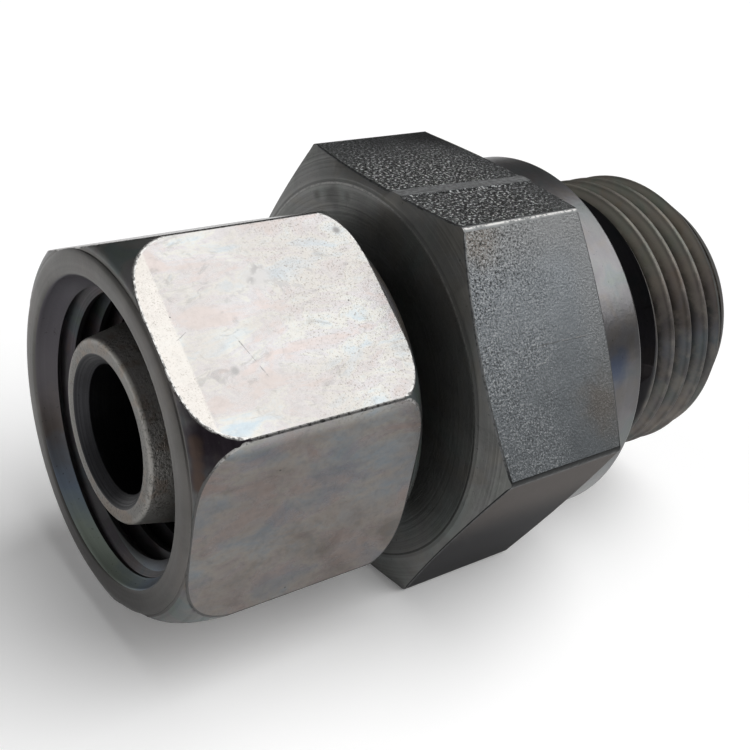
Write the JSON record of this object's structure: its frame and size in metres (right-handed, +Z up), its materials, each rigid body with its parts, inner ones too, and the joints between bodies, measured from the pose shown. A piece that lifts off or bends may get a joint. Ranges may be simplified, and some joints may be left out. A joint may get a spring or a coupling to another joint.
{
  "type": "swivel fitting",
  "caption": "Straight coupling with a hexagon body, a parallel male port stud and a captive hexagon nut that swivels on a 24 degree cone nose.",
  "frame": {"origin": "on the fitting's axis, in the plane of the collar face that seals on the port", "axes": "+X along the axis from the port stud towards the swivel nut, +Z up with a flat of the body hexagon at the top and one at the bottom"},
  "size_m": [0.0467, 0.031, 0.027],
  "materials": {
    "forged_steel": "plated forged steel, grainy",
    "nut_steel": "plated steel, satin",
    "ring_rubber": "matt black"
  },
  "bodies": {
    "fitting": {"stud_body": "forged_steel", "cone_o_ring": "ring_rubber"},
    "nut": {"swivel_nut": "nut_steel"}
  },
  "joints": [
    {"name": "nut_spin", "type": "hinge", "parent": "fitting", "child": "nut", "pos_m": [0.025, 0, 0], "axis": [1, 0, 0], "continuous": true}
  ]
}
